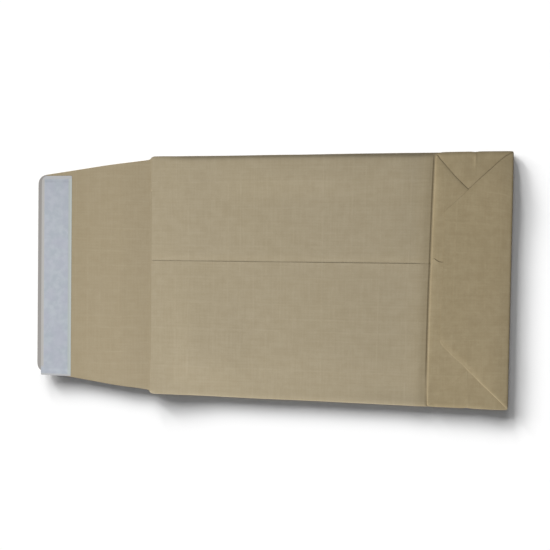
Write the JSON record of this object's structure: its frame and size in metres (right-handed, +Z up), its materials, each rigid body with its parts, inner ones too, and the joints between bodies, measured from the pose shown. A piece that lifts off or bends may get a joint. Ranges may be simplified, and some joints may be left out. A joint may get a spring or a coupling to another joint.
{
  "type": "gusseted envelope",
  "caption": "Block-bottom gusseted envelope of reinforced kraft paper, flat and empty, with its peel-and-seal flap open and the liner on.",
  "frame": {"origin": "middle of the whole outline with the flap open, on the surface it lies on", "axes": "+X from the sealing flap towards the block bottom, +Y across to one side fold, +Z up, out of the back panel"},
  "size_m": [0.4485, 0.229, 0.0035],
  "materials": {
    "kraft_paper": "matt brown kraft with a thread grid inside",
    "liner_paper": "smooth silicone-coated paper",
    "adhesive": "tacky hot-melt film",
    "glue": "dried white paste"
  },
  "bodies": {
    "root": {"envelope_sheet": "kraft_paper", "release_liner": "liner_paper", "seal_adhesive": "adhesive", "seam_glue": "glue", "bottom_glue": "glue"}
  },
  "joints": []
}
